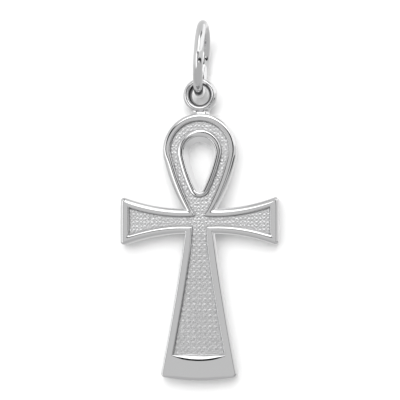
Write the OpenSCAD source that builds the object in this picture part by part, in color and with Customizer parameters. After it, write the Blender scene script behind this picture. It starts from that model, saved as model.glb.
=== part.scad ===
// Ankh pendant hanging from a plain wire bail ring.
// The front of the ankh faces -Y, +X is to its right and +Z is up.
// The origin is where a chain bears, inside the top of the bail ring.

/* [Bail ring] */
// Outside diameter of the bail ring
bail_od = 6.1; // [5.2:0.1:8]
// Diameter of the bail ring's round wire
bail_wire = 0.75; // [0.5:0.05:0.9]
// Lean of the bail ring to the right, in degrees
bail_lean = 3.2; // [0:0.2:8]

/* [Eyelet] */
// Diameter of the eyelet's hole
eye_hole = 1.64; // [1.4:0.02:2.2]
// Radial thickness of the eyelet
eye_wall = 0.51; // [0.4:0.01:0.7]
// Depth of the eyelet from front to back
eye_depth = 1.3; // [0.8:0.05:1.5]
// Rounding of the eyelet's edges
eye_round = 0.18; // [0.05:0.01:0.19]
// Play between the wire and the front and back ends of the eyelet's hole
hang_gap = 0.1; // [0.05:0.01:0.2]
// How far the eyelet's middle lies to the right of the wire it hangs on
hang_side = 0.08; // [0:0.01:0.15]
// Solder between the lowest point of the eyelet and the top of the loop
solder_gap = 0.14; // [0:0.01:0.2]
// Radius of the solder fillets between eyelet and loop
solder_fillet = 0.35; // [0.2:0.01:0.5]
// Thickness of the solder neck from front to back
solder_depth = 0.9; // [0.6:0.05:1.1]

/* [Loop] */
// Radius of the loop's round top
loop_r = 2.86; // [2.6:0.02:3.2]
// Radius of the loop's long flanks
flank_r = 13.2; // [11.5:0.1:15]
// Angle below the widest point where the round top runs into the flanks
flank_start = 12; // [8:0.5:15]
// Height of the loop's round centre above the crossbar's middle line
loop_rise = 5.52; // [5.2:0.02:6]
// Width of the sunk field round the loop
loop_field_w = 0.6; // [0.45:0.01:0.7]
// Width of the rim between the sunk field and the open middle
inner_rim_w = 0.35; // [0.25:0.01:0.4]
// How far the wall of the open middle closes in towards the back
hole_flare = 0.36; // [0.25:0.01:0.45]
// Radius of the open middle's lower tip, at its narrowest
hole_tip_r = 0.09; // [0.05:0.01:0.2]
// How far the inner rim sits below the loop's round centre
island_drop = 0.12; // [0:0.01:0.2]
// How far the open middle sits below the inner rim
hole_drop = 0.1; // [0:0.01:0.15]

/* [Crossbar] */
// Overall width of the crossbar
bar_span = 12.28; // [11:0.02:14]
// Height of the crossbar at its ends
bar_end_h = 3.87; // [3.2:0.01:4.4]
// Height of the crossbar at its waist
bar_waist_h = 1.87; // [1.7:0.01:2.1]
// Distance of each arm's waist from the centre line
bar_waist_x = 0.94; // [0.7:0.01:1.2]

/* [Stem] */
// Length of the stem from the crossbar's middle line to the foot
stem_drop = 12.38; // [11:0.01:14]
// Width of the stem where it leaves the crossbar's middle line
stem_neck_w = 1.95; // [1.7:0.01:2.2]
// Width of the stem at the corners of the foot
foot_w = 5.92; // [5.2:0.02:6.6]
// How far the stem's sides bow inwards
stem_bow = 0.09; // [0.04:0.01:0.25]
// How far the foot bulges below its corners
foot_bulge = 0.32; // [0.15:0.01:0.5]
// Height of the plain plate between the sunk field and the foot
foot_plate_h = 1.61; // [1.2:0.01:2]
// How far the lower end of the sunk field bulges
field_toe_bulge = 0.44; // [0.25:0.01:0.6]
// Length of the ramp at the lower end of the sunk field
field_toe_run = 0.38; // [0.2:0.01:0.45]

/* [Section] */
// Thickness of the ankh from front to back
thick = 1.6; // [1.3:0.05:2]
// Width of the raised rim
rim_w = 0.57; // [0.5:0.01:0.65]
// Rounding of the front's outer edges
shoulder = 0.28; // [0.15:0.01:0.35]
// Rounding of the front edge of the open middle
hole_shoulder = 0.2; // [0.1:0.01:0.25]
// Bevel of the back's edges
back_bevel = 0.12; // [0.05:0.01:0.2]
// Depth of the sunk field below the rims
field_depth = 0.35; // [0.2:0.01:0.5]
// Slope of the sunk field's walls, as their run across
field_wall_run = 0.1; // [0.06:0.01:0.2]

/* [Hidden] */
silver = [0.86, 0.86, 0.87];

// Facets of small and of large arcs, and the steps of a rounded edge
fine = 96;
broad = 360;
faint = 2880;
round_steps = 3;
// Room that a cutting shape runs past what it cuts
over = 1;
// Half of a box that holds the whole ankh
reach = 40;
// How far a flank stays inside the round that it touches
kiss = 0.003;

front = thick / 2;
back = -thick / 2;
floor_level = front - field_depth;

// The bail ring's middle line, and the place where the ankh hangs
bail_mean_r = (bail_od - bail_wire) / 2;
bail_seat_r = bail_od / 2 - bail_wire;
hang_reach = bail_seat_r + bail_mean_r;
hang_x = -hang_reach * sin(bail_lean);
hang_z = -hang_reach * cos(bail_lean);

// The ankh is drawn in a plane with the crossbar's middle at the origin
eye_r = eye_hole / 2 + eye_wall;
eye_y = loop_rise + loop_r + solder_gap + eye_r;
wire_rise = bail_seat_r - sqrt(bail_seat_r * bail_seat_r - eye_depth * eye_depth / 4);
pin_y = eye_y + eye_hole / 2 - hang_gap - wire_rise - bail_wire / 2;

// The loop's flanks swing about a point on the far side of the loop
flank_x = (loop_r - flank_r) * cos(flank_start);
flank_y = (flank_r - loop_r) * sin(flank_start);
island_inset = rim_w + loop_field_w;
hole_inset = island_inset + inner_rim_w;
tip_reach = flank_r - hole_inset - hole_flare - hole_tip_r;
tip_angle = acos(-flank_x / tip_reach);
tip_y = flank_y - sqrt(tip_reach * tip_reach - flank_x * flank_x);
tip_r = hole_tip_r + hole_flare + hole_inset;

// Radius of an arc from its half chord and its bulge
function arc_radius(half_chord, bulge) =
    (half_chord * half_chord + bulge * bulge) / (2 * bulge);

// Each arm's edges are arcs that rise from the waist to the end
bar_rise = (bar_end_h - bar_waist_h) / 2;
bar_arc_r = arc_radius(bar_span / 2 - bar_waist_x, bar_rise);

// The stem's side runs from its neck to a corner of the foot
foot_corner_y = foot_bulge - stem_drop;
side_dx = (foot_w - stem_neck_w) / 2;
side_len = sqrt(side_dx * side_dx + foot_corner_y * foot_corner_y);
side_r = arc_radius(side_len / 2, stem_bow);
side_turn = atan2(side_dx, -foot_corner_y);
side_reach = side_r - stem_bow;
side_cx = (stem_neck_w + foot_w) / 4 + side_reach * cos(side_turn);
side_cy = foot_corner_y / 2 + side_reach * sin(side_turn);
side_span = 2 * asin((side_len / 2 + over) / side_r);
foot_arc_r = arc_radius(foot_w / 2, foot_bulge);

toe_y = foot_plate_h - stem_drop;
toe_half_w = foot_w / 2 - rim_w;
toe_arc_r = arc_radius(toe_half_w, field_toe_bulge);

// Points of an edge's section, as distance outwards and height.
// The rounded part steps from the side of the edge to its face.
function quarter(r) =
    [for (i = [0:round_steps]) let (a = 90 * i / round_steps) [r * cos(a) - r, r * sin(a) - r]];
outer_edge = concat(
    [[-back_bevel, back], [0, back + back_bevel]],
    [for (p = quarter(shoulder)) [p[0], front + p[1]]]);
hole_edge = concat(
    [[-hole_flare, back - over], [-hole_flare, back]],
    [for (p = quarter(hole_shoulder)) [-hole_shoulder - p[0], front + p[1]]],
    [[0, front + over]]);
field_edge = [[-field_wall_run, floor_level], [0, front], [0, front + over]];
island_edge = [[field_wall_run, floor_level - over], [field_wall_run, floor_level],
    [0, front], [0, front + 2 * over]];
toe_edge = [[-field_toe_run, floor_level], [0, front], [0, front + over]];

// A solid inside an arc, whose rim has the given section
module arc_solid(r, edge, from = 0, to = 360, facets = broad) {
    last = len(edge) - 1;
    rotate_extrude(start = from, angle = to - from, $fn = facets)
        polygon(concat([[0, edge[0][1]]], [for (p = edge) [r + p[0], p[1]]], [[0, edge[last][1]]]));
}

// A cut inside an arc, which leaves the given section on what lies outside
module arc_cut(r, edge, from = 0, to = 360, facets = broad) {
    last = len(edge) - 1;
    low = edge[0][1] - over;
    high = edge[last][1] + over;
    rotate_extrude(start = from, angle = to - from, $fn = facets)
        polygon(concat([[0, low], [r - edge[0][0], low]], [for (p = edge) [r - p[0], p[1]]],
            [[r - edge[last][0], high], [0, high]]));
}

// A teardrop: a round top, a lens between two long flanks and a pointed or
// rounded lower tip. The lens starts and ends where its flanks touch the rounds.
module teardrop(inset, edge, rounded = false) {
    top_drop = reach * tan(flank_start);
    tip_drop = reach * tan(tip_angle);
    low = rounded ? [[reach, tip_y - tip_drop], [0, tip_y], [-reach, tip_y - tip_drop]]
        : [[reach, -reach], [-reach, -reach]];
    arc_solid(loop_r - inset, edge);
    intersection() {
        translate([flank_x, flank_y]) arc_solid(flank_r - inset - kiss, edge);
        translate([-flank_x, flank_y]) arc_solid(flank_r - inset - kiss, edge);
        linear_extrude(2 * reach, center = true)
            polygon(concat([[-reach, -top_drop], [0, 0], [reach, -top_drop]], low));
    }
    if (rounded) translate([0, tip_y]) arc_solid(tip_r - inset, edge);
}

// A crossbar with straight ends and edges that rise in arcs from its waist
module crossbar(inset, edge) {
    half = bar_span / 2 - inset;
    difference() {
        rotate([90, 0, 0]) linear_extrude(2 * reach, center = true)
            polygon(concat([for (p = edge) [half + p[0], p[1]]],
                [for (i = [len(edge) - 1:-1:0]) [-half - edge[i][0], edge[i][1]]]));
        for (side = [0, 1]) mirror([side, 0, 0]) for (rim = [0, 1]) mirror([0, rim, 0])
            translate([bar_waist_x, bar_waist_h / 2 + bar_arc_r])
                arc_cut(bar_arc_r + inset, edge);
        for (rim = [0, 1]) mirror([0, rim, 0])
            translate([-reach, bar_end_h / 2 + over, -reach]) cube(2 * reach);
    }
}

// What lies outside the stem's bowed sides
module stem_sides(inset, edge) {
    for (side = [0, 1]) mirror([side, 0, 0]) translate([side_cx, side_cy])
        arc_cut(side_r + inset, edge, 180 + side_turn - side_span / 2,
            180 + side_turn + side_span / 2, faint);
}

// A stem that widens down to a rounded foot
module stem() {
    difference() {
        intersection() {
            translate([0, foot_arc_r - stem_drop]) arc_solid(foot_arc_r, outer_edge);
            translate([-foot_w, -stem_drop - over, -reach])
                cube([2 * foot_w, stem_drop + over, 2 * reach]);
        }
        stem_sides(0, outer_edge);
    }
}

// The sunk field of the stem, with a ramp at its lower end
module stem_field() {
    toe_cy = toe_y + toe_arc_r;
    difference() {
        intersection() {
            union() {
                translate([0, toe_cy]) arc_solid(toe_arc_r, toe_edge);
                translate([-toe_half_w, toe_cy, floor_level])
                    cube([2 * toe_half_w, reach, field_depth + over]);
            }
            translate([-toe_half_w, -stem_drop, -reach])
                cube([2 * toe_half_w, stem_drop, 2 * reach]);
        }
        stem_sides(rim_w, field_edge);
    }
}

// The sunk field, open from the loop through the crossing into arms and stem
module field() {
    difference() {
        translate([0, loop_rise]) teardrop(rim_w, field_edge);
        translate([0, loop_rise - island_drop]) teardrop(island_inset, island_edge, true);
    }
    crossbar(rim_w, field_edge);
    stem_field();
}

// The eyelet, a ring with rounded edges
module eyelet() {
    half = eye_depth / 2;
    edge = concat(
        [for (i = [round_steps:-1:0]) let (p = quarter(eye_round)[i]) [p[0], -half - p[1]]],
        [for (p = quarter(eye_round)) [p[0], half + p[1]]]);
    rotate_extrude($fn = broad)
        polygon(concat([for (p = edge) [eye_r + p[0], p[1]]],
            [for (i = [len(edge) - 1:-1:0]) [eye_hole / 2 - edge[i][0], edge[i][1]]]));
}

// The solder between eyelet and loop, hollowed by a fillet on either side
module solder_neck() {
    sink = 0.02;
    span = eye_y - loop_rise;
    eye_d = eye_r + solder_fillet - sink;
    loop_d = loop_r + solder_fillet - sink;
    rise = (loop_d * loop_d - eye_d * eye_d + span * span) / (2 * span);
    side = sqrt(loop_d * loop_d - rise * rise);
    eye_k = (eye_r - shoulder) / eye_d;
    loop_k = (loop_r - shoulder) / loop_d;
    eye_in = [side * eye_k, span + (rise - span) * eye_k];
    loop_in = [side * loop_k, rise * loop_k];
    translate([0, loop_rise, -solder_depth / 2]) linear_extrude(solder_depth)
        difference() {
            polygon([eye_in, [side, rise], loop_in, [-loop_in[0], loop_in[1]],
                [-side, rise], [-eye_in[0], eye_in[1]]]);
            for (turn = [-1, 1]) translate([turn * side, rise]) circle(solder_fillet, $fn = fine);
        }
}

module ankh() {
    color(silver) translate([hang_x + hang_side, 0, hang_z - pin_y]) rotate([90, 0, 0])
        difference() {
            union() {
                translate([0, loop_rise]) teardrop(0, outer_edge);
                crossbar(0, outer_edge);
                stem();
                translate([0, eye_y]) eyelet();
                solder_neck();
            }
            translate([0, loop_rise - island_drop - hole_drop])
                teardrop(hole_inset, hole_edge, true);
            field();
        }
}

module bail_ring() {
    color(silver) rotate([0, bail_lean, 0]) translate([0, 0, -bail_seat_r]) rotate([0, 90, 0])
        rotate_extrude($fn = broad) translate([bail_mean_r, 0]) circle(bail_wire / 2, $fn = fine);
}

ankh();
bail_ring();
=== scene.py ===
"""Ankh pendant: the looks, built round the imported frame.

The ankh is drawn in its own plane, in millimetres: u to the right, v up and w towards
the viewer, from the middle of the crossbar. place() takes it into the frame, in metres.
"""
import math

import bmesh
import bpy
import numpy as np
from mathutils import Matrix, Vector
from mathutils.geometry import delaunay_2d_cdt
from mathutils.kdtree import KDTree


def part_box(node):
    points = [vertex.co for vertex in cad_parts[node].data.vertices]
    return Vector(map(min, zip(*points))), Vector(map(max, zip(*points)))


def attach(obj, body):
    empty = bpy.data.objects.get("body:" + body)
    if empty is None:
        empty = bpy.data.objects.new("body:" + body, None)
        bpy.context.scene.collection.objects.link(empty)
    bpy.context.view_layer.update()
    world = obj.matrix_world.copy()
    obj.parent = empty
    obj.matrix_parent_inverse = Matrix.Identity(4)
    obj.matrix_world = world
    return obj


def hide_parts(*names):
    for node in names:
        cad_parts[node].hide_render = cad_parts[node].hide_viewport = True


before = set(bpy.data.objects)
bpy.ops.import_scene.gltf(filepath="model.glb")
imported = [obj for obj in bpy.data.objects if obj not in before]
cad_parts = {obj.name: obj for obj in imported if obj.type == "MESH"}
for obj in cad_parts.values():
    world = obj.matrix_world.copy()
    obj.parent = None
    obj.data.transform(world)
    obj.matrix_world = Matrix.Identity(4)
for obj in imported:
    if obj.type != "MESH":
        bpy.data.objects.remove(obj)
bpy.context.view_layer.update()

MM = 0.001

# Overall sizes and places, from the frame
ankh_low, ankh_high = (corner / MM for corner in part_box("ankh"))
bail_low, bail_high = (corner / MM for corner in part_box("bail_ring"))
bar_span = ankh_high.x - ankh_low.x
thick = ankh_high.y - ankh_low.y
bail_od = bail_high.y - bail_low.y

# Sizes of the ankh's drawing, as the solids have them
LOOP_R = 2.86
FLANK_R = 13.2
FLANK_START = math.radians(12)
LOOP_RISE = 5.52
FIELD_W = 0.6
INNER_RIM_W = 0.35
HOLE_FLARE = 0.36
HOLE_TIP_R = 0.09
ISLAND_DROP = 0.12
HOLE_DROP = 0.1
BAR_END_H = 3.87
BAR_WAIST_H = 1.87
BAR_WAIST_X = 0.94
STEM_DROP = 12.38
STEM_NECK_W = 1.95
FOOT_W = 5.92
STEM_BOW = 0.09
FOOT_BULGE = 0.32
FOOT_PLATE_H = 1.61
TOE_BULGE = 0.44
RIM_W = 0.57
FIELD_DEPTH = 0.35
BACK_BEVEL = 0.12
EYE_HOLE_R = 0.82
EYE_WALL = 0.51
EYE_DEPTH = 1.3
SOLDER_GAP = 0.14
SOLDER_FILLET = 0.35
SOLDER_DEPTH = 0.9
BAIL_WIRE = 0.75
BAIL_LEAN = math.radians(3.2)
BAIL_TWIST = 0.06

front = thick / 2
back = -thick / 2
floor_level = front - FIELD_DEPTH
mid_x = (ankh_low.x + ankh_high.x) / 2
mid_z = ankh_low.z + STEM_DROP


def place(points):
    """Points of the drawing, as rows of u, v, w in millimetres, in the frame's metres."""
    points = np.asarray(points, float)
    u, v, w = points[:, 0], points[:, 1], points[:, 2]
    return np.stack([mid_x + u, -w, mid_z + v], 1) * MM


# Curves of the drawing

LEAST_ANGLE = -math.pi / 2 - 0.5
CORNER_POINTS = 7


class Arc:
    """An arc, walked by its length from one angle to another, in radians."""

    def __init__(self, centre, radius, start, end):
        self.centre = np.asarray(centre, float)
        self.radius = radius
        self.start = start
        self.turn = 1.0 if end > start else -1.0
        self.length = radius * abs(end - start)

    def angle(self, s):
        return self.start + self.turn * np.asarray(s) / self.radius

    def at(self, s):
        a = self.angle(s)
        return self.centre + self.radius * np.stack([np.cos(a), np.sin(a)], -1)

    def heading(self, s):
        a = self.angle(s)
        return self.turn * np.stack([-np.sin(a), np.cos(a)], -1)


class Line:
    """A straight stretch, walked by its length."""

    def __init__(self, start, end):
        self.start = np.asarray(start, float)
        way = np.asarray(end, float) - self.start
        self.length = float(np.hypot(*way))
        self.way = way / self.length

    def at(self, s):
        return self.start + np.multiply.outer(np.asarray(s), self.way)

    def heading(self, s):
        return self.way


def arc_radius(half_chord, bulge):
    return (half_chord**2 + bulge**2) / (2 * bulge)


def meet(c1, r1, c2, r2, near):
    """The point where two circles cross that lies nearest to a given point."""
    c1, c2, near = np.asarray(c1, float), np.asarray(c2, float), np.asarray(near, float)
    gap = float(np.hypot(*(c2 - c1)))
    along = (r1**2 - r2**2 + gap**2) / (2 * gap)
    across = math.sqrt(r1**2 - along**2)
    way = (c2 - c1) / gap
    side = np.array([-way[1], way[0]])
    found = [c1 + along * way + sign * across * side for sign in (1, -1)]
    return min(found, key=lambda p: float(np.hypot(*(p - near))))


def angle_of(point, centre):
    """Direction from a centre to a point, in radians: a whole turn from LEAST_ANGLE up."""
    d = np.asarray(point, float) - np.asarray(centre, float)
    a = math.atan2(d[1], d[0])
    return a + math.tau if a < LEAST_ANGLE else a


# Centres of the drawing's arcs
loop_centre = np.array([0, LOOP_RISE])
flank_centre = loop_centre + (FLANK_R - LOOP_R) * np.array(
    [-math.cos(FLANK_START), math.sin(FLANK_START)])
bar_arc_r = arc_radius(bar_span / 2 - BAR_WAIST_X, (BAR_END_H - BAR_WAIST_H) / 2)
bar_centre = np.array([BAR_WAIST_X, BAR_WAIST_H / 2 + bar_arc_r])
under_centre = bar_centre * [1, -1]
foot_corner = np.array([FOOT_W / 2, FOOT_BULGE - STEM_DROP])
neck_corner = np.array([STEM_NECK_W / 2, 0])
side_way = foot_corner - neck_corner
side_len = float(np.hypot(*side_way))
side_r = arc_radius(side_len / 2, STEM_BOW)
side_out = np.array([-side_way[1], side_way[0]]) / side_len
side_centre = (foot_corner + neck_corner) / 2 + (side_r - STEM_BOW) * side_out
foot_arc_r = arc_radius(FOOT_W / 2, FOOT_BULGE)
foot_centre = np.array([0, foot_arc_r - STEM_DROP])
toe_half_w = FOOT_W / 2 - RIM_W
toe_arc_r = arc_radius(toe_half_w, TOE_BULGE)
toe_centre = np.array([0, FOOT_PLATE_H - STEM_DROP + toe_arc_r])

island_inset = RIM_W + FIELD_W
hole_inset = island_inset + INNER_RIM_W
tip_reach = FLANK_R - hole_inset - HOLE_FLARE - HOLE_TIP_R
tip_angle = math.acos(-flank_centre[0] / tip_reach)
tip_centre = np.array([0, flank_centre[1] - tip_reach * math.sin(tip_angle)])
tip_r = HOLE_TIP_R + HOLE_FLARE + hole_inset

# Rounding of the drawing's corners: where the arms leave loop and stem, and at the ends
INNER_CORNER_R = 0.07
ARM_CORNER_R = 0.22
FOOT_CORNER_R = 0.3
LEAST_CORNER_R = 0.03


def outline_half(inset, toe=None):
    """The right half of the outline at an inset, from the loop's top to the foot's middle.
    With toe, its lower end is the sunk field's, that far inside the field's front edge."""
    foot, foot_r = (foot_centre, foot_arc_r - inset) if toe is None else (
        toe_centre, toe_arc_r - toe)
    arm_x = bar_span / 2 - inset
    bar_r = bar_arc_r + inset
    arm_y = bar_centre[1] - math.sqrt(bar_r**2 - (arm_x - BAR_WAIST_X) ** 2)
    flank_r = FLANK_R - inset
    stem_r = side_r + inset
    neck = meet(flank_centre, flank_r, bar_centre, bar_r, (BAR_WAIST_X, BAR_WAIST_H / 2))
    crotch = meet(side_centre, stem_r, under_centre, bar_r, (BAR_WAIST_X, -BAR_WAIST_H / 2))
    heel = meet(side_centre, stem_r, foot, foot_r, foot_corner)
    arm_top, arm_low = (arm_x, arm_y), (arm_x, -arm_y)
    parts = [
        Arc(loop_centre, LOOP_R - inset, math.pi / 2, -FLANK_START),
        Arc(flank_centre, flank_r, -FLANK_START, angle_of(neck, flank_centre)),
        Arc(bar_centre, bar_r, angle_of(neck, bar_centre), angle_of(arm_top, bar_centre)),
        Line(arm_top, arm_low),
        Arc(under_centre, bar_r, angle_of(arm_low, under_centre), angle_of(crotch, under_centre)),
        Arc(side_centre, stem_r, angle_of(crotch, side_centre), angle_of(heel, side_centre)),
        Arc(foot, foot_r, angle_of(heel, foot), -math.pi / 2),
    ]
    arm_round = max(ARM_CORNER_R - inset, LEAST_CORNER_R)
    foot_round = max(FOOT_CORNER_R - inset, LEAST_CORNER_R)
    return parts, [0, INNER_CORNER_R, arm_round, arm_round, INNER_CORNER_R, foot_round]


def teardrop_half(inset, drop):
    """The right half of a rounded teardrop inside the loop, from its top to its tip."""
    down = np.array([0, -drop])
    parts = [
        Arc(loop_centre + down, LOOP_R - inset, math.pi / 2, -FLANK_START),
        Arc(flank_centre + down, FLANK_R - inset, -FLANK_START, -tip_angle),
        Arc(tip_centre + down, tip_r - inset, -tip_angle, -math.pi / 2),
    ]
    return parts, [0, 0]


def corner_points(a, b, trim, radius, count):
    """Points between two stretches that a rounded corner of that radius joins."""
    start, end = a.at(a.length - trim), b.at(trim)
    go, come = a.heading(a.length - trim), b.heading(trim)
    bend = math.acos(max(-1.0, min(1.0, float(go @ come))))
    pull = 4 / 3 * math.tan(bend / 4) * radius
    t = np.linspace(0, 1, count + 2)[1:-1, None]
    return ((1 - t) ** 3 * start + 3 * t * (1 - t) ** 2 * (start + pull * go)
            + 3 * t**2 * (1 - t) * (end - pull * come) + t**3 * end)


def ring(half, counts):
    """A closed ring of points from a half outline: the right side down, the left side up."""
    parts, radii = half
    trims = []
    for a, b, radius in zip(parts, parts[1:], radii):
        cosine = float(a.heading(a.length) @ b.heading(0))
        trims.append(radius * math.tan(math.acos(max(-1.0, min(1.0, cosine))) / 2))
    points = []
    for i, (part, count) in enumerate(zip(parts, counts)):
        lead = trims[i - 1] if i else 0
        tail = trims[i] if i < len(trims) else 0
        walk = part.at(np.linspace(lead, part.length - tail, count))
        points.append(walk[1:] if i and not radii[i - 1] else walk)
        if i < len(trims) and radii[i]:
            points.append(corner_points(part, parts[i + 1], trims[i], radii[i], CORNER_POINTS))
    right = np.concatenate(points)
    left = right[-2:0:-1] * [-1, 1]
    return np.concatenate([right, left])


def counts_for(half, step):
    """How many points each stretch of a half outline gets, at most a step apart."""
    return [max(3, int(math.ceil(part.length / step)) + 1) for part in half[0]]


# Materials

METAL = (0.70, 0.70, 0.705, 1)
# Painted light: the pebbled field's metal is lighter than the polished metal, so that the beaded
# field reads brighter
PEBBLE_METAL_PAINTED_LIGHTER = (0.77, 0.77, 0.775, 1)
# Painted shade: the metal darkened for the feet of the sunk field's walls and for the eyelet's
# bore, where the recesses lie in shade
PAINTED_SHADE_METAL = (0.28, 0.28, 0.285, 1)
POLISH_ROUGHNESS = 0.05
PEBBLE_ROUGHNESS = 0.3
RECESS_ROUGHNESS = 0.35

# Noise in the metals, as waves a metre and detail, with what it does to the surface: the
# rubbing marks scale the roughness, and the waves and the grain are bumps in metres
RUBBING = (2500, 6)
RUBBED_LEAST, RUBBED_MOST = 0.6, 1.5
POLISH_WAVES = (700, 1)
POLISH_WAVE_H = 0.000003
CAST_GRAIN = (9000, 3)
CAST_GRAIN_H = 0.000008


def new_material(name):
    """A new material, with its nodes, their links and its shader."""
    material = bpy.data.materials.new(name)
    material.use_nodes = True
    nodes = material.node_tree.nodes
    return material, nodes, material.node_tree.links, nodes["Principled BSDF"]


def noise(nodes, links, scale, detail):
    """Noise that is fixed to the metal, at a number of waves a metre."""
    spot = nodes.new("ShaderNodeTexCoord")
    texture = nodes.new("ShaderNodeTexNoise")
    texture.inputs["Scale"].default_value = scale
    texture.inputs["Detail"].default_value = detail
    links.new(spot.outputs["Object"], texture.inputs["Vector"])
    return texture.outputs["Fac"]


def uneven(nodes, links, shader, height, reach):
    """Gives a shader small bumps from a height between 0 and 1."""
    bump = nodes.new("ShaderNodeBump")
    bump.inputs["Distance"].default_value = reach
    links.new(height, bump.inputs["Height"])
    links.new(bump.outputs["Normal"], shader.inputs["Normal"])


def polished_metal(name, roughness):
    """White precious metal, softly waved by hand polishing and with fine rubbing marks."""
    material, nodes, links, shader = new_material(name)
    shader.inputs["Metallic"].default_value = 1.0
    shader.inputs["Base Color"].default_value = METAL
    rubbed = nodes.new("ShaderNodeMapRange")
    rubbed.inputs["To Min"].default_value = roughness * RUBBED_LEAST
    rubbed.inputs["To Max"].default_value = roughness * RUBBED_MOST
    links.new(noise(nodes, links, *RUBBING), rubbed.inputs["Value"])
    links.new(rubbed.outputs["Result"], shader.inputs["Roughness"])
    uneven(nodes, links, shader, noise(nodes, links, *POLISH_WAVES), POLISH_WAVE_H)
    return material


def cast_metal(name, colour, roughness):
    """The metal as it left the mould: satin, with a fine grain, in a given colour. A colour
    lighter than the polished metal paints light on the pebbled field, and a dark one paints shade
    into the recesses.
    """
    material, nodes, links, shader = new_material(name)
    shader.inputs["Metallic"].default_value = 1.0
    shader.inputs["Base Color"].default_value = colour
    shader.inputs["Roughness"].default_value = roughness
    uneven(nodes, links, shader, noise(nodes, links, *CAST_GRAIN), CAST_GRAIN_H)
    return material


ankh_polish = polished_metal("ankh_polish", POLISH_ROUGHNESS)
# The pebbled field's metal is painted lighter than the polished one
ankh_pebble = cast_metal("ankh_pebble", PEBBLE_METAL_PAINTED_LIGHTER, PEBBLE_ROUGHNESS)
# Painted shade: a darkened copy of the metal, satin, for the walls' feet and the eyelet's bore
ankh_painted_shade = cast_metal("ankh_painted_shade", PAINTED_SHADE_METAL, RECESS_ROUGHNESS)
bail_polish = polished_metal("bail_polish", POLISH_ROUGHNESS)

# The ankh's materials, and what each is called by its index. The third is painted shade: a
# darkened copy of the metal for the recesses
ANKH_METALS = [ankh_polish, ankh_pebble, ankh_painted_shade]
POLISHED, PEBBLED, RECESS_PAINTED_SHADE = 0, 1, 2

# Meshes

# Points nearer to each other than this, in millimetres, are one point to the triangulation
WELD = 1e-6


def add_object(name, points, faces):
    """A new object of the scene, from points in metres."""
    mesh = bpy.data.meshes.new(name)
    mesh.from_pydata(points, [], faces)
    obj = bpy.data.objects.new(name, mesh)
    bpy.context.scene.collection.objects.link(obj)
    return obj


def face_outwards(mesh):
    """Turns the faces of a closed mesh so that all look outwards."""
    work = bmesh.new()
    work.from_mesh(mesh)
    bmesh.ops.recalc_face_normals(work, faces=work.faces)
    work.to_mesh(mesh)
    work.free()


class Mesh:
    """Vertices and faces that grow ring by ring, each face with a material index."""

    def __init__(self):
        self.points = []
        self.faces = []
        self.looks = []
        self.count = 0

    def add(self, points):
        """Adds points and gives their indices."""
        self.points.append(np.asarray(points, float))
        first = self.count
        self.count += len(points)
        return np.arange(first, self.count)

    def add_ring(self, flat, heights):
        """Adds a ring of flat points at one height or a height each."""
        heights = np.broadcast_to(heights, (len(flat),))
        return self.add(np.column_stack([flat, heights]))

    def strip(self, a, b, look=POLISHED):
        """Quads between two rings of equal count."""
        for i in range(len(a)):
            j = (i + 1) % len(a)
            self.faces.append((a[i], a[j], b[j], b[i]))
            self.looks.append(look)

    def fill(self, rings, inner_points, heights, look=POLISHED):
        """Triangles between an outer ring and the rings inside it, through inner points."""
        flat = np.concatenate([np.concatenate(self.points)[r][:, :2] for r in rings])
        index = list(np.concatenate(rings))
        if len(inner_points):
            index += list(self.add(np.column_stack([inner_points, heights])))
            flat = np.concatenate([flat, inner_points])
        edges, first = [], 0
        for r in rings:
            edges += [(first + i, first + (i + 1) % len(r)) for i in range(len(r))]
            first += len(r)
        spots, _, triangles, origin, _, _ = delaunay_2d_cdt(
            [Vector(p) for p in flat], edges, [], 0, WELD)
        spots = np.array([tuple(p) for p in spots])
        triangles = np.array(triangles)
        middles = spots[triangles].mean(axis=1)
        keep = inside(middles, flat[:len(rings[0])])
        first = len(rings[0])
        for r in rings[1:]:
            keep &= ~inside(middles, flat[first:first + len(r)])
            first += len(r)
        for triangle in triangles[keep]:
            self.faces.append(tuple(index[origin[k][0]] for k in triangle))
            self.looks.append(look)

    def build(self, name, materials):
        """The object of the closed mesh, in its place in the frame."""
        points = place(np.concatenate(self.points)).tolist()
        faces = [tuple(int(i) for i in f) for f in self.faces]
        obj = add_object(name, points, faces)
        for material in materials:
            obj.data.materials.append(material)
        obj.data.polygons.foreach_set("material_index", self.looks)
        face_outwards(obj.data)
        return obj


def inside(points, outline):
    """Which points lie inside a closed outline, by the even-odd rule."""
    x, y = points[:, 0], points[:, 1]
    result = np.zeros(len(points), bool)
    for (x1, y1), (x2, y2) in zip(outline, np.roll(outline, -1, axis=0)):
        if y1 == y2:
            continue
        crosses = (y1 > y) != (y2 > y)
        result ^= crosses & (x < (x2 - x1) * (y - y1) / (y2 - y1) + x1)
    return result


# The ankh's relief

# How fine the mesh is: points along the outline and the teardrop, the insets at which the
# outline is worked out and how far past the rim they reach, and steps across an edge
RING_STEP = 0.085
TEARDROP_STEP = 0.06
STACK_STEP = 0.03
STACK_PAST_RIM = 0.6
BEVEL_POINTS = 4
CROWN_STEPS = 4
BEND_STEPS = 9

# A ring this far from an edge keeps the flat beside it flat
FLAT_MARGIN = 0.008

# Height of the extra ring on the ankh's side, as a share of its thickness
SIDE_RING = 0.3

# Slopes in degrees. A crown's first bend has the given shares of its width and slope
CROWN_SLOPE = 8
CROWN_START = 0.3
CROWN_START_SLOPE = 0.55
SHOULDER_SLOPE = 86
WALL_SLOPE = 84

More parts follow.
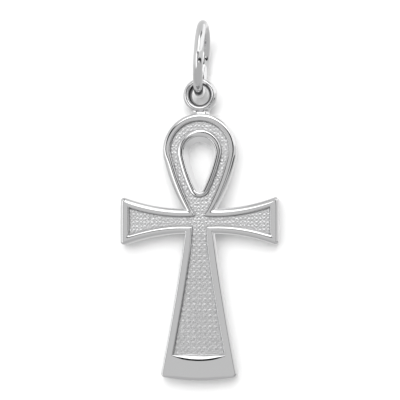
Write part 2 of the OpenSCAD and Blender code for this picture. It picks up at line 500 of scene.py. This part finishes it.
# Edges on each stretch of the outline, as the width of a gentle crown and the radius of
# the rounding after it: left shoulder, right shoulder and edge of the sunk field. Then how
# far that edge is moved inwards, and the share by which the rim is slimmer at the crossing
EDGES = [
    ((0.12, 0.20), (0.12, 0.18), (0.04, 0.06), -0.06, 0.0),  # loop
    ((0.10, 0.42), (0.10, 0.22), (0.09, 0.06), 0.0, 0.50),  # flank
    ((0.06, 0.38), (0.06, 0.38), (0.04, 0.06), 0.0, 0.15),  # arm's top
    ((0.05, 0.18), (0.05, 0.16), (0.04, 0.06), 0.0, 0.0),  # arm's end
    ((0.05, 0.20), (0.05, 0.20), (0.12, 0.18), -0.13, 0.2),  # arm's underside
    ((0.05, 0.12), (0.05, 0.10), (0.04, 0.06), 0.0, 0.38),  # stem
    ((0.06, 0.25), (0.06, 0.25), (0.30, 0.34), 0.12, 0.0),  # foot, and the field's toe
]

# How far from the crossing's middle the rims' slimness fades
SLIM_REACH = 2.2

# Where the toe's own edge takes over from the stem's, as shares of its stretch, and how
# many ring points to each side, and how many times, values along the outline are smoothed
TOE_BLEND = (0.05, 0.3)
SMOOTH_REACH = 5
SMOOTH_PASSES = 2

# The inner rim's edges as bends, each with a width and the slope that it ends at. Its
# outer edge changes from the left one to the right one over the width of the blend
ISLAND_EDGE_LEFT = [(0.04, 4.5), (0.19, 17), (0.03, WALL_SLOPE)]
ISLAND_EDGE_RIGHT = [(0.10, 4.5), (0.08, 25), (0.03, WALL_SLOPE)]
LEFT_BLEND_W = 1.2
HOLE_EDGE = [(0.04, 4.5), (0.10, 8), (0.08, 70), (0.02, 80)]

# The sunk field's beads stand in rows and columns, with small ones between: pitch, greatest
# shift from place as a share of the pitch, and height of the large and the small, in the
# stem and above it
STEM_BEADS = (0.42, 0.03, 0.013, 0.007)
UPPER_BEADS = (0.30, 0.14, 0.017, 0.011)
BEAD_SEED = 7

# Radii of large and small beads, as shares of the pitch, and how much their heights differ
LARGE_BEAD_R = 0.36
SMALL_BEAD_R = 0.24
BEAD_H_SPREAD = 0.15

# The grid of points on the field's floor, its distance from the walls, and the width over
# which the beads sink to the floor beside a wall
FLOOR_STEP = 0.042
FLOOR_MARGIN = 0.024
BEAD_FADE_W = 0.05


def profile(bends, steps=BEND_STEPS):
    """An edge's section as distances and drops from the flat: each bend has a width and
    the slope that it ends at, in degrees."""
    x, z, slope = [0.0], [0.0], 0.0
    for width, end in bends:
        end = math.radians(end)
        radius = width / (math.sin(end) - math.sin(slope))
        x0, z0 = x[-1], z[-1]
        for a in np.linspace(slope, end, steps + 1)[1:]:
            x.append(x0 + radius * (math.sin(a) - math.sin(slope)))
            z.append(z0 + radius * (math.cos(slope) - math.cos(a)))
        slope = end
    return np.array(x), np.array(z)


def edge(crown, radius, end_slope, depth=None):
    """The section of a crown and a rounding, with a straight wall below down to a depth."""
    x, z = profile([(crown * CROWN_START, CROWN_SLOPE * CROWN_START_SLOPE),
                    (crown * (1 - CROWN_START), CROWN_SLOPE)], CROWN_STEPS // 2)
    start, end = math.radians(CROWN_SLOPE), math.radians(end_slope)
    for a in np.linspace(start, end, BEND_STEPS + 1)[1:]:
        x = np.append(x, crown + radius * (math.sin(a) - math.sin(start)))
        z = np.append(z, z[CROWN_STEPS] + radius * (math.cos(start) - math.cos(a)))
    if depth is not None:
        x = np.append(x, x[-1] + (depth - z[-1]) / math.tan(end))
        z = np.append(z, depth)
    return x, z


def spread(left, right, half, counts):
    """One value for each stretch and side, as one smoothed value for each ring point. The
    last stretch starts with the value before its own, and soon reaches its own."""
    parts, radii = half
    sides = []
    for values in (right, left):
        runs = []
        starts = list(values[:-1]) + [values[-2]]
        for i, (start, value, count) in enumerate(zip(starts, values, counts)):
            count = count - 1 if i and not radii[i - 1] else count
            runs += list(np.interp(np.arange(count) / count, TOE_BLEND, [start, value]))
            if i < len(radii) and radii[i]:
                runs += list(np.linspace(value, starts[i + 1], CORNER_POINTS + 2)[1:-1])
        sides.append(runs)
    whole = np.array(sides[0] + sides[1][-2:0:-1], float)
    kernel = np.ones(2 * SMOOTH_REACH + 1) / (2 * SMOOTH_REACH + 1)
    for _ in range(SMOOTH_PASSES):
        padded = np.concatenate([whole[-SMOOTH_REACH:], whole, whole[:SMOOTH_REACH]])
        whole = np.convolve(padded, kernel, "valid")
    return whole


def beaded(points, pitch, jitter, large, small):
    """Heights of the sunk field's floor, covered with low beads."""
    rng = np.random.default_rng(BEAD_SEED)
    low = points.min(axis=0) - 2 * pitch
    result = np.zeros(len(points))
    for shift, radius, height in ((0, LARGE_BEAD_R, large), (0.5, SMALL_BEAD_R, small)):
        start = low + shift * pitch
        cell = np.floor((points - start) / pitch).astype(int)
        size = tuple(cell.max(axis=0) + 2)
        moved = rng.uniform(-jitter, jitter, size + (2,)) * pitch
        tops = height * rng.uniform(1 - BEAD_H_SPREAD, 1 + BEAD_H_SPREAD, size)
        for corner in ((0, 0), (0, 1), (1, 0), (1, 1)):
            site = cell + corner
            i, j = site[:, 0], site[:, 1]
            centre = start + site * pitch + moved[i, j]
            share = ((points - centre) ** 2).sum(axis=1) / (radius * pitch) ** 2
            result = np.maximum(result, tops[i, j] * np.clip(1 - share, 0, None))
    return result


def floor_points(outer, island):
    """A fine triangular grid of points on the sunk field, clear of its walls, and how far
    each point is from them."""
    low, high = outer.min(axis=0), outer.max(axis=0)
    grid = []
    for i, y in enumerate(np.arange(low[1], high[1], FLOOR_STEP * math.sqrt(3) / 2)):
        across = np.arange(low[0] + FLOOR_STEP / 2 * (i % 2), high[0], FLOOR_STEP)
        grid.append(np.column_stack([across, np.full(len(across), y)]))
    grid = np.concatenate(grid)
    grid = grid[inside(grid, outer) & ~inside(grid, island)]
    wall_points = np.concatenate([outer, island])
    walls = KDTree(len(wall_points))
    for i, (x, y) in enumerate(wall_points):
        walls.insert((x, y, 0), i)
    walls.balance()
    gap = np.array([walls.find((x, y, 0))[2] for x, y in grid])
    far = gap > FLOOR_MARGIN
    return grid[far], gap[far]


def make_ankh_body():
    """The ankh without its eyelet: shoulders, rims, sunk field, open middle and back."""
    base = outline_half(0)
    counts = counts_for(base, RING_STEP)
    insets = np.arange(0, RIM_W + STACK_PAST_RIM, STACK_STEP)
    whole_stack = np.array([ring(outline_half(e), counts) for e in insets])
    field_stack = np.array([ring(outline_half(e, e - RIM_W), counts) for e in insets])

    def outline(inset, stack=whole_stack):
        """The ring at an inset, which may differ from point to point."""
        inset = np.broadcast_to(inset, (stack.shape[1],))
        k = np.clip((inset / STACK_STEP).astype(int), 0, len(insets) - 2)
        t = (inset / STACK_STEP - k)[:, None]
        n = np.arange(stack.shape[1])
        return stack[k, n] * (1 - t) + stack[k + 1, n] * t

    body = Mesh()
    rows = [body.add_ring(outline(BACK_BEVEL + FLAT_MARGIN), back)]
    for a in np.linspace(0, math.pi / 2, BEVEL_POINTS):
        inset = BACK_BEVEL * (1 - math.sin(a))
        rows.append(body.add_ring(outline(inset), back + BACK_BEVEL * (1 - math.cos(a))))
    rows.append(body.add_ring(outline(0), back + thick * SIDE_RING))
    left_shoulders, right_shoulders, field_edges, moves, slimness = zip(*EDGES)
    nearness = np.exp(-(outline(0) ** 2).sum(axis=1) / SLIM_REACH**2)
    slim = 1 - spread(slimness, slimness, base, counts) * nearness
    left = [edge(*sizes, SHOULDER_SLOPE) for sizes in left_shoulders]
    right = [edge(*sizes, SHOULDER_SLOPE) for sizes in right_shoulders]
    for k in range(CROWN_STEPS + BEND_STEPS, -1, -1):
        inset = slim * spread([x[-1] - x[k] for x, _ in left], [x[-1] - x[k] for x, _ in right],
                              base, counts)
        drop = spread([z[k] for _, z in left], [z[k] for _, z in right], base, counts)
        rows.append(body.add_ring(outline(inset), front - drop))
    rows.append(body.add_ring(outline(inset + FLAT_MARGIN), front))

    field = [edge(*sizes, WALL_SLOPE, FIELD_DEPTH) for sizes in field_edges]
    starts = [RIM_W + move - crown for move, (crown, _) in zip(moves, field_edges)]
    flat_end = slim * spread(starts, starts, base, counts) - FLAT_MARGIN
    rows.append(body.add_ring(outline(flat_end, field_stack), front))
    for k in range(CROWN_STEPS + BEND_STEPS + 2):
        inset = [start + x[k] for start, (x, _) in zip(starts, field)]
        drop = [z[k] for _, z in field]
        outer_foot = outline(slim * spread(inset, inset, base, counts), field_stack)
        rows.append(body.add_ring(outer_foot, front - spread(drop, drop, base, counts)))
    # The strip at the wall's foot, next to the field's floor, gets painted shade: the darkened
    # metal
    for a, b in zip(rows, rows[1:]):
        body.strip(a, b, RECESS_PAINTED_SHADE if b is rows[-1] else POLISHED)

    drop_counts = counts_for(teardrop_half(island_inset, 0), TEARDROP_STEP)

    def teardrop(inset, lower=0.0):
        """The inner rim's ring at an inset, as it lies or lower."""
        return ring(teardrop_half(inset, ISLAND_DROP + lower), drop_counts)

    leftness = np.clip(0.5 - teardrop(island_inset)[:, 0] / LEFT_BLEND_W, 0, 1)
    sides = [profile(ISLAND_EDGE_LEFT), profile(ISLAND_EDGE_RIGHT)]
    wall_run = (FIELD_DEPTH - sides[0][1][-1]) / math.tan(math.radians(WALL_SLOPE))
    island_foot = teardrop(island_inset - wall_run)
    inner = [body.add_ring(island_foot, floor_level)]
    for k in range(len(sides[0][0]) - 1, -1, -1):
        left_ring, right_ring = (teardrop(island_inset + x[-1] - x[k]) for x, _ in sides)
        share = leftness[:, None]
        drop = leftness * sides[0][1][k] + (1 - leftness) * sides[1][1][k]
        inner.append(body.add_ring(share * left_ring + (1 - share) * right_ring, front - drop))
    hole_x, hole_z = profile(HOLE_EDGE)
    hole_start = hole_inset - HOLE_EDGE[0][0] - HOLE_EDGE[1][0]
    hole_end = hole_inset + HOLE_FLARE - hole_start
    for x, z in zip(np.append(hole_x, hole_end), np.append(hole_z, thick)):
        lower = HOLE_DROP * min(1, x / hole_x[-1])
        inner.append(body.add_ring(teardrop(hole_start + x, lower), front - z))
    # The strip at the inner rim's wall foot, next to the field's floor, gets painted shade: the
    # darkened metal
    for a, b in zip(inner, inner[1:]):
        body.strip(a, b, RECESS_PAINTED_SHADE if a is inner[0] else POLISHED)

    spots, gap = floor_points(outer_foot, island_foot)
    rise = np.where(spots[:, 1] > -BAR_WAIST_H / 2,
                    beaded(spots, *UPPER_BEADS), beaded(spots, *STEM_BEADS))
    rise *= np.clip(gap / BEAD_FADE_W, 0, 1)
    body.fill([rows[-1], inner[0]], spots, floor_level + rise, PEBBLED)
    body.fill([rows[0], inner[-1]], [], [], PEBBLED)
    return body.build("ankh_cast", ANKH_METALS)


# The oval to which the eyelet's bore narrows at the back. The powers below 1 make its
# section squarer than an ellipse, and say how the narrowing grows inwards and backwards
EYE_BACK_W = 1.24
EYE_BACK_H = 1.46
EYE_OUT_POWER = 0.75
EYE_LIFT_POWER = 0.7
NARROW_IN_POWER = 0.5
NARROW_BACK_POWER = 0.8
EYE_AROUND, EYE_ACROSS = 144, 40

# The bore's painted shade, a darkened copy of the metal, starts where the section's angle has
# this cosine
BORE_COSINE = -0.6

# The solder's section is squarer than an ellipse too. Its waist spans this many degrees to
# each side, and it's this much deeper at its ends
SOLDER_POWER = 0.7
SOLDER_TURN = 70
SOLDER_END_DEPTH = 0.12
SOLDER_AROUND, SOLDER_RINGS = 48, 15

BAIL_AROUND, BAIL_ACROSS = 240, 40


def rounded(value, power):
    """A sine or cosine to a power, with its sign kept."""
    return np.copysign(np.abs(value) ** power, value)


def make_eyelet():
    """The eyelet: a ring of rounded section, whose bore narrows towards the back to an
    oval that leaves the bail its room at the top."""
    eye_v = LOOP_RISE + LOOP_R + SOLDER_GAP + EYE_WALL + EYE_HOLE_R
    mean_r = EYE_HOLE_R + EYE_WALL / 2
    turn = np.linspace(0, math.tau, EYE_AROUND, endpoint=False)
    way = np.column_stack([np.cos(turn), np.sin(turn)])
    half_w, half_h = EYE_BACK_W / 2, EYE_BACK_H / 2
    rise = EYE_HOLE_R - half_h
    p = (way[:, 0] / half_w) ** 2 + (way[:, 1] / half_h) ** 2
    q = way[:, 1] * rise / half_h**2
    oval_r = (q + np.sqrt(q**2 - p * (rise**2 / half_h**2 - 1))) / p
    taper = EYE_HOLE_R - np.minimum(oval_r, EYE_HOLE_R)
    eyelet = Mesh()
    rings = []
    for k in range(EYE_ACROSS):
        a = math.tau * k / EYE_ACROSS
        out = rounded(math.cos(a), EYE_OUT_POWER)
        lift = rounded(math.sin(a), EYE_LIFT_POWER)
        deeper = (1 - lift) / 2
        narrowed = taper * max(-out, 0) ** NARROW_IN_POWER * deeper**NARROW_BACK_POWER
        radius = mean_r + out * EYE_WALL / 2 - narrowed
        rings.append(eyelet.add_ring(way * radius[:, None] + [0, eye_v], lift * EYE_DEPTH / 2))
    for k in range(EYE_ACROSS):
        # The bore gets painted shade: the darkened metal
        bore = math.cos(math.tau * (k + 0.5) / EYE_ACROSS) < BORE_COSINE
        eyelet.strip(rings[k], rings[(k + 1) % EYE_ACROSS], RECESS_PAINTED_SHADE if bore else POLISHED)
    return eyelet.build("eyelet", ANKH_METALS)


def make_solder():
    """The solder between eyelet and loop: a waisted block with soft edges."""
    eye_r = EYE_HOLE_R + EYE_WALL
    span = LOOP_R + SOLDER_GAP + eye_r
    eye_d, loop_d = eye_r + SOLDER_FILLET, LOOP_R + SOLDER_FILLET
    rise = (loop_d**2 - eye_d**2 + span**2) / (2 * span)
    side = math.sqrt(loop_d**2 - rise**2)
    turn = np.linspace(0, math.tau, SOLDER_AROUND, endpoint=False)
    solder = Mesh()
    rings = []
    for a in np.radians(np.linspace(-SOLDER_TURN, SOLDER_TURN, SOLDER_RINGS)):
        lift = math.sin(a)
        half_w = side - SOLDER_FILLET * math.cos(a)
        half_d = SOLDER_DEPTH / 2 + SOLDER_END_DEPTH * lift**2
        across = rounded(np.cos(turn), SOLDER_POWER) * half_w
        deep = rounded(np.sin(turn), SOLDER_POWER) * half_d
        height = np.full(SOLDER_AROUND, LOOP_RISE + rise + SOLDER_FILLET * lift)
        rings.append(solder.add_ring(np.column_stack([across, height]), deep))
    for a, b in zip(rings, rings[1:]):
        solder.strip(a, b)
    for end in (rings[0], rings[-1]):
        solder.faces.append(tuple(end))
        solder.looks.append(POLISHED)
    return solder.build("solder", ANKH_METALS)


def fuse(target, others):
    """Joins closed bodies into one, and leaves only their common skin."""
    bpy.context.view_layer.objects.active = target
    for other in others:
        union = target.modifiers.new("union", "BOOLEAN")
        union.operation = "UNION"
        union.solver = "MANIFOLD"
        union.object = other
        with bpy.context.temp_override(object=target):
            bpy.ops.object.modifier_apply(modifier=union.name)
        bpy.data.objects.remove(other)


def soften(obj, sharp_deg):
    """Smooth shading, with hard edges only where faces meet at more than an angle."""
    obj.data.polygons.foreach_set("use_smooth", [True] * len(obj.data.polygons))
    obj.data.set_sharp_from_angle(angle=math.radians(sharp_deg))


def make_bail():
    """The bail ring: polished round wire, its far side very slightly twisted."""
    mean_r = (bail_od - BAIL_WIRE) / 2
    centre = (bail_low + bail_high) / 2
    up = Vector((math.sin(BAIL_LEAN), 0, math.cos(BAIL_LEAN)))
    out = Vector((math.cos(BAIL_LEAN), 0, -math.sin(BAIL_LEAN)))
    near = Vector((0, -1, 0))
    points, faces = [], []
    for i in range(BAIL_AROUND):
        a = math.tau * i / BAIL_AROUND
        radial = near * math.cos(a) + up * math.sin(a)
        twist = out * (2 * BAIL_TWIST * max(0, -math.cos(a)) * math.sin(a))
        first, following = i * BAIL_ACROSS, (i + 1) % BAIL_AROUND * BAIL_ACROSS
        for k in range(BAIL_ACROSS):
            b = math.tau * k / BAIL_ACROSS
            spot = centre + twist + radial * (mean_r + BAIL_WIRE / 2 * math.cos(b))
            points.append((spot + out * (BAIL_WIRE / 2 * math.sin(b))) * MM)
            k2 = (k + 1) % BAIL_ACROSS
            faces.append((first + k, following + k, following + k2, first + k2))
    obj = add_object("bail_wire", points, faces)
    face_outwards(obj.data)
    return obj


# The pieces in their places

ANKH_SHARP_DEG = 50
BAIL_SHARP_DEG = 60

ankh = make_ankh_body()
fuse(ankh, [make_eyelet(), make_solder()])
ankh.name = "ankh_cast"
soften(ankh, ANKH_SHARP_DEG)
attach(ankh, "ankh")
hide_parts("ankh")

bail = make_bail()
soften(bail, BAIL_SHARP_DEG)
bail.data.materials.append(bail_polish)
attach(bail, "bail")
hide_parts("bail_ring")

# Camera: the photograph's side in pixels, its scale in millimetres a pixel and where the
# crossbar's middle is in it, and the camera's place in degrees and millimetres

PHOTO_SIDE_PX = 400
PHOTO_SCALE = 0.078
PHOTO_BAR_MIDDLE_PX = (200.0, 221.2)
CAMERA_AZIMUTH = math.radians(5)
CAMERA_ELEVATION = math.radians(-4)
CAMERA_TILT = math.radians(0.15)
CAMERA_DISTANCE = 150
SENSOR = 36
CLIP_START_M, CLIP_END_M = 0.001, 10


def make_camera():
    """The camera, which sees the crossbar's middle where the photograph has it."""
    sa, ca = math.sin(CAMERA_AZIMUTH), math.cos(CAMERA_AZIMUTH)
    se, ce = math.sin(CAMERA_ELEVATION), math.cos(CAMERA_ELEVATION)
    away = Vector((sa * ce, -ca * ce, se))
    right = Vector((ca, sa, 0))
    up = away.cross(right)
    tilt = Matrix.Rotation(CAMERA_TILT, 3, away)
    right, up = tilt @ right, tilt @ up
    shift_x = PHOTO_SIDE_PX / 2 - PHOTO_BAR_MIDDLE_PX[0]
    shift_y = PHOTO_BAR_MIDDLE_PX[1] - PHOTO_SIDE_PX / 2
    aim = Vector((mid_x, 0, mid_z)) + (right * shift_x + up * shift_y) * PHOTO_SCALE
    data = bpy.data.cameras.new("camera")
    data.sensor_width = SENSOR
    data.lens = SENSOR * CAMERA_DISTANCE / (PHOTO_SIDE_PX * PHOTO_SCALE)
    data.clip_start = CLIP_START_M
    data.clip_end = CLIP_END_M
    camera = bpy.data.objects.new("camera", data)
    turned = Matrix((right, up, away)).transposed()
    camera.matrix_world = Matrix.LocRotScale((aim + away * CAMERA_DISTANCE) * MM,
                                             turned.to_quaternion(), None)
    bpy.context.scene.collection.objects.link(camera)
    bpy.context.scene.camera = camera


make_camera()

# Studio: the ankh hangs against a white board, above a pale floor

STUDIO = 400
FLOOR_Z = -42
GROUND_SHADE = 0.7
MATTE_ROUGHNESS = 0.9
BOARD_GAP = 0.05
BOARD_BEND_DROP = 0.9
BOARD_HALF_W = 29
BOARD_TOP_Z = 14
BOARD_SHADE = 0.77
KEY_STRENGTH = 2.4
KEY_SOFTNESS = math.radians(60)
KEY_AZIMUTH = math.radians(-8)
KEY_ELEVATION = math.radians(17)


def make_sheet(name, half_width, edges):
    """A bent sheet through edges given as y and z."""
    corners = [(x, y, z) for y, z in edges for x in (-half_width, half_width)]
    faces = [(k, k + 1, k + 3, k + 2) for k in range(0, len(corners) - 2, 2)]
    obj = add_object(name, [Vector(c) * MM for c in corners], faces)
    return obj


def pale_matte(name, shade, one_sided=False):
    """A matte surface of a grey shade. A one-sided one is clear from behind."""
    material, nodes, links, shader = new_material(name)
    shader.inputs["Base Color"].default_value = (shade, shade, shade, 1)
    shader.inputs["Roughness"].default_value = MATTE_ROUGHNESS
    shader.inputs["Specular IOR Level"].default_value = 0
    if one_sided:
        clear = nodes.new("ShaderNodeBsdfTransparent")
        side = nodes.new("ShaderNodeNewGeometry")
        mix = nodes.new("ShaderNodeMixShader")
        links.new(side.outputs["Backfacing"], mix.inputs["Fac"])
        links.new(shader.outputs["BSDF"], mix.inputs[1])
        links.new(clear.outputs["BSDF"], mix.inputs[2])
        links.new(mix.outputs["Shader"], nodes["Material Output"].inputs["Surface"])
    return material


def make_board():
    """The white board right behind the ankh, which makes room for the bail above. It's
    seen from the front only and left out of the metal's reflections."""
    low_y, low_z = ankh_high.y + BOARD_GAP, mid_z + LOOP_RISE + LOOP_R
    high_y, high_z = bail_high.y + BOARD_GAP, (bail_low.z + bail_high.z) / 2 - BOARD_BEND_DROP
    board = make_sheet("board", BOARD_HALF_W, [(low_y, FLOOR_Z), (low_y, low_z),
                                               (high_y, high_z), (high_y, BOARD_TOP_Z)])
    board.data.materials.append(pale_matte("board_matte", BOARD_SHADE, one_sided=True))
    board.visible_glossy = False


def make_key():
    """A soft lamp in front, a little high and to the left. It casts the shadows on the board."""
    data = bpy.data.lights.new("key", "SUN")
    data.energy = KEY_STRENGTH
    data.angle = KEY_SOFTNESS
    key = bpy.data.objects.new("key", data)
    key.rotation_euler = Vector((math.sin(KEY_AZIMUTH) * math.cos(KEY_ELEVATION),
                                 -math.cos(KEY_AZIMUTH) * math.cos(KEY_ELEVATION),
                                 math.sin(KEY_ELEVATION))).to_track_quat("Z", "Y").to_euler()
    key.visible_glossy = False
    bpy.context.scene.collection.objects.link(key)


make_board()
make_key()
ground = make_sheet("ground", STUDIO, [(-STUDIO, FLOOR_Z), (STUDIO, FLOOR_Z)])
ground.data.materials.append(pale_matte("ground_matte", GROUND_SHADE))
ground.visible_glossy = False

# The light tent: for each sector, the azimuth in degrees where it starts, right of the
# front being positive, the width of its blend, and its brightness by elevation
TENT_PEAK = 2.0
TENT_BEHIND = [(-90, 0.55), (-60, 0.6), (-35, 0.75), (-12, 0.62), (14, 1.0), (40, 0.8),
               (90, 0.75)]
TENT = [
    (-180, 0, TENT_BEHIND),
    (-112, 10, [(-90, 0.55), (-20, 0.6), (-5, 0.85), (50, 0.85), (62, 0.8), (90, 0.7)]),
    (-50, 12, [(-90, 0.6), (-32, 0.6), (-26, 1.7), (7, 1.7), (12, 1.2), (20, 0.75), (90, 0.6)]),
    (-22, 1, [(-90, 0.6), (-25, 0.6), (-20, 0.03), (13, 0.03), (20, 0.9), (50, 0.9),
              (62, 0.8), (90, 0.6)]),
    (-15, 1, [(-90, 0.6), (-20, 0.6), (-8, 0.72), (7.3, 0.74), (7.7, 0.01), (13.5, 0.01),
              (14, 2.0), (60, 2.0), (68, 0.8), (90, 0.6)]),
    (-0.5, 1, [(-90, 0.6), (-20, 0.6), (-15, 0.3), (2, 0.3), (4, 0.02), (13, 0.02), (14, 2.0),
               (60, 2.0), (68, 0.8), (90, 0.6)]),
    (12, 1, [(-90, 0.6), (-20, 0.6), (-18, 1.5), (-15, 1.5), (-14, 0.03), (-8, 0.03),
             (-7, 0.9), (8, 0.9), (12, 2.0), (60, 2.0), (80, 1.0), (90, 0.8)]),
    (25, 3, [(-90, 0.6), (-20, 0.6), (-18, 1.2), (-15, 1.2), (-14, 0.03), (-8, 0.03),
             (-7, 0.85), (14, 0.9), (18, 0.12), (56, 0.12), (62, 0.8), (90, 0.8)]),
    (36, 4, [(-90, 0.6), (-14, 0.6), (-11, 0.03), (-5, 0.03), (-4, 0.85), (9, 0.85), (12, 1.3),
             (48, 1.3), (54, 0.2), (66, 0.2), (70, 0.8), (90, 0.8)]),
    (90, 8, [(-90, 0.55), (-5, 0.65), (3, 0.85), (11, 0.85), (14, 1.3), (45, 1.3), (60, 0.8),
             (90, 0.75)]),
    (150, 8, TENT_BEHIND),
]


def ramp(nodes, links, angle, stops):
    """Brightness along an angle, from stops in degrees."""
    low, high = stops[0][0], stops[-1][0]
    scale = nodes.new("ShaderNodeMapRange")
    scale.inputs["From Min"].default_value = math.radians(low)
    scale.inputs["From Max"].default_value = math.radians(high)
    links.new(angle, scale.inputs["Value"])
    bands = nodes.new("ShaderNodeValToRGB")
    elements = bands.color_ramp.elements
    elements.remove(elements[1])
    for i, (spot, value) in enumerate(stops):
        element = elements.new((spot - low) / (high - low)) if i else elements[0]
        element.color = (value / TENT_PEAK, value / TENT_PEAK, value / TENT_PEAK, 1)
    links.new(scale.outputs["Result"], bands.inputs["Fac"])
    return bands.outputs["Color"]


def make_tent():
    """A light tent: bright above, grey in front and below, with thin dark gaps between."""
    world = bpy.data.worlds.new("tent")
    bpy.context.scene.world = world
    world.use_nodes = True
    nodes, links = world.node_tree.nodes, world.node_tree.links
    nodes.clear()
    way = nodes.new("ShaderNodeTexCoord")
    split = nodes.new("ShaderNodeSeparateXYZ")
    links.new(way.outputs["Generated"], split.inputs["Vector"])

    def calculate(operation, *values):
        """The result of a sum, from numbers and sockets."""
        node = nodes.new("ShaderNodeMath")
        node.operation = operation
        for value, socket in zip(values, node.inputs):
            if isinstance(value, (int, float)):
                socket.default_value = value
            else:
                links.new(value, socket)
        return node.outputs["Value"]

    elevation = calculate("ARCSINE", split.outputs["Z"])
    ahead = calculate("MULTIPLY", split.outputs["Y"], -1)
    azimuth = calculate("ARCTAN2", split.outputs["X"], ahead)
    colour = ramp(nodes, links, elevation, TENT[0][2])
    for start, blend, stops in TENT[1:]:
        sector = nodes.new("ShaderNodeMix")
        sector.data_type = "RGBA"
        reached = [(-180, 0), (start - blend / 2, 0), (start + blend / 2, TENT_PEAK),
                   (180, TENT_PEAK)]
        links.new(ramp(nodes, links, azimuth, reached), sector.inputs["Factor"])
        links.new(colour, sector.inputs["A"])
        links.new(ramp(nodes, links, elevation, stops), sector.inputs["B"])
        colour = sector.outputs["Result"]
    tent = nodes.new("ShaderNodeBackground")
    tent.inputs["Strength"].default_value = TENT_PEAK
    links.new(colour, tent.inputs["Color"])
    plain = nodes.new("ShaderNodeBackground")
    plain.inputs["Color"].default_value = (1, 1, 1, 1)
    ray = nodes.new("ShaderNodeLightPath")
    choose = nodes.new("ShaderNodeMixShader")
    links.new(ray.outputs["Is Camera Ray"], choose.inputs["Fac"])
    links.new(tent.outputs["Background"], choose.inputs[1])
    links.new(plain.outputs["Background"], choose.inputs[2])
    out = nodes.new("ShaderNodeOutputWorld")
    links.new(choose.outputs["Shader"], out.inputs["Surface"])


make_tent()
bpy.context.scene.view_settings.view_transform = "Standard"
